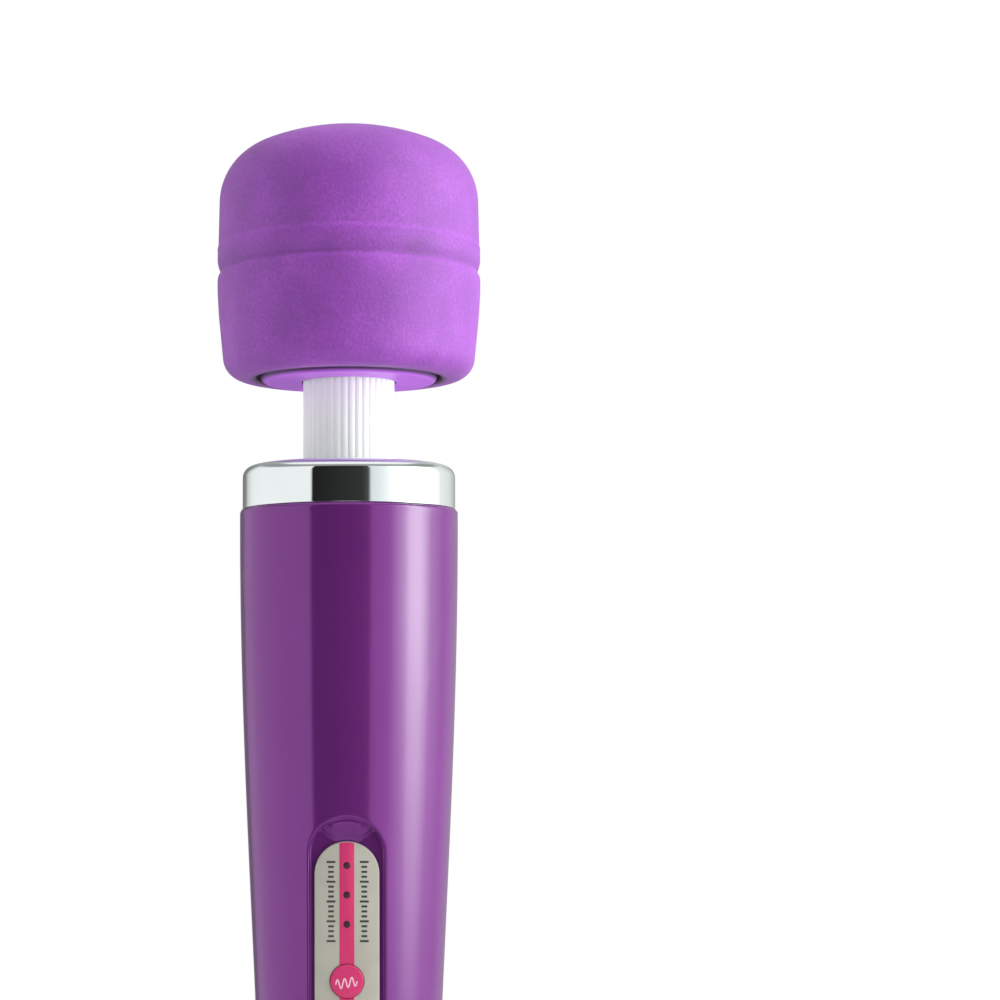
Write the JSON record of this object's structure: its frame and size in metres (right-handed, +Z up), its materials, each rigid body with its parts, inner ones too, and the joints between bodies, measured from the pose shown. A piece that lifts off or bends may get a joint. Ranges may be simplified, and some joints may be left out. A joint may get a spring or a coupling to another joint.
{
  "type": "handheld wand massager",
  "caption": "Cordless wand massager with a round soft head on a flexible fluted neck, a chrome collar and a tapered handle with a front control panel.",
  "frame": {"origin": "centre of the flat foot that the massager stands on", "axes": "+Z up the handle to the head, -Y out of the front with the control panel, +X to the right seen from the front"},
  "size_m": [0.0597, 0.0596, 0.31],
  "materials": {
    "body_plastic": "glossy",
    "screw_steel": "zinc plated",
    "chrome": "polished",
    "inner_plastic": "moulded",
    "pale_plastic": "moulded",
    "panel_silver": "satin",
    "button_pink": "satin",
    "lens_dark": "clear tinted",
    "led_clear": "clear",
    "circuit_board": "solder mask",
    "battery_wrap": "shrink-wrapped",
    "contact_steel": "nickel plated",
    "lead_red": "insulated",
    "lead_black": "insulated",
    "neck_rubber": "smooth",
    "spring_steel": "drawn",
    "head_soft": "velvety grain",
    "base_purple": "satin",
    "motor_steel": "plated",
    "magnet": "sintered",
    "bronze": "sintered",
    "winding": "enamelled",
    "weight_brass": "turned"
  },
  "bodies": {
    "handle": {"end_cap": "body_plastic", "end_cap_screws": "screw_steel", "jack_plate": "inner_plastic", "front_shell": "body_plastic", "rear_shell": "body_plastic", "shell_screws": "screw_steel", "collar_ring": "chrome", "neck_seat": "inner_plastic", "neck_clamp": "inner_plastic", "neck_clamp_screws": "screw_steel", "control_panel": "panel_silver", "panel_stripe": "button_pink", "indicator_lens_1": "lens_dark", "indicator_lens_2": "lens_dark", "indicator_lens_3": "lens_dark", "circuit_board": "circuit_board", "board_screws": "screw_steel", "tactile_switches": "inner_plastic", "indicator_leds": "led_clear", "board_components": "inner_plastic", "battery_cell_lower": "battery_wrap", "battery_cell_upper": "battery_wrap", "battery_tray": "inner_plastic", "tray_screws": "screw_steel", "battery_contacts": "contact_steel", "charging_jack": "inner_plastic", "charging_jack_pin": "contact_steel", "charging_leads": "lead_red", "battery_leads": "lead_red", "motor_leads_lower": "lead_black"},
    "neck": {"neck_sleeve": "neck_rubber", "neck_spring": "spring_steel", "motor_leads_upper": "lead_black"},
    "head": {"head_cover": "head_soft", "head_shell": "pale_plastic", "head_base": "base_purple", "neck_retainer": "inner_plastic", "neck_retainer_screws": "screw_steel", "motor_cradle": "pale_plastic", "cradle_screws": "screw_steel", "motor_can": "motor_steel", "motor_magnets": "magnet", "motor_end_bell": "inner_plastic", "motor_bushes": "bronze", "motor_terminals": "contact_steel", "motor_plate": "pale_plastic", "motor_screws": "screw_steel", "plate_screws": "screw_steel"},
    "rotor": {"motor_shaft": "spring_steel", "motor_armature": "winding", "eccentric_weight": "weight_brass", "weight_set_screw": "screw_steel"},
    "mode_button": {"mode_button": "button_pink", "mode_switch_plunger": "inner_plastic"},
    "power_button": {"power_button": "button_pink", "power_switch_plunger": "inner_plastic"}
  },
  "joints": [
    {"name": "neck_tilt_side", "type": "hinge", "parent": "handle", "child": "neck", "pos_m": [0, 0, 0.24235], "axis": [0, 1, 0], "range_deg": [-34, 34], "stiffness_Nm_per_rad": 2, "deforming": ["neck_sleeve", "neck_spring", "motor_leads_upper"]},
    {"name": "neck_tilt_front", "type": "hinge", "parent": "neck", "child": "head", "pos_m": [0, 0, 0.24235], "axis": [1, 0, 0], "range_deg": [-34, 34], "stiffness_Nm_per_rad": 2, "deforming": ["neck_sleeve", "neck_spring", "motor_leads_upper"]},
    {"name": "motor_spin", "type": "hinge", "parent": "head", "child": "rotor", "pos_m": [0, 0, 0.28], "axis": [0, 0, 1], "continuous": true},
    {"name": "mode_button_press", "type": "slide", "parent": "handle", "child": "mode_button", "axis": [0, 0.999, 0.0454], "range_m": [0, 0.0005], "stiffness_N_per_m": 1000, "springref_m": -0.0005},
    {"name": "power_button_press", "type": "slide", "parent": "handle", "child": "power_button", "axis": [0, 0.999, 0.0454], "range_m": [0, 0.0005], "stiffness_N_per_m": 1000, "springref_m": -0.0005}
  ]
}
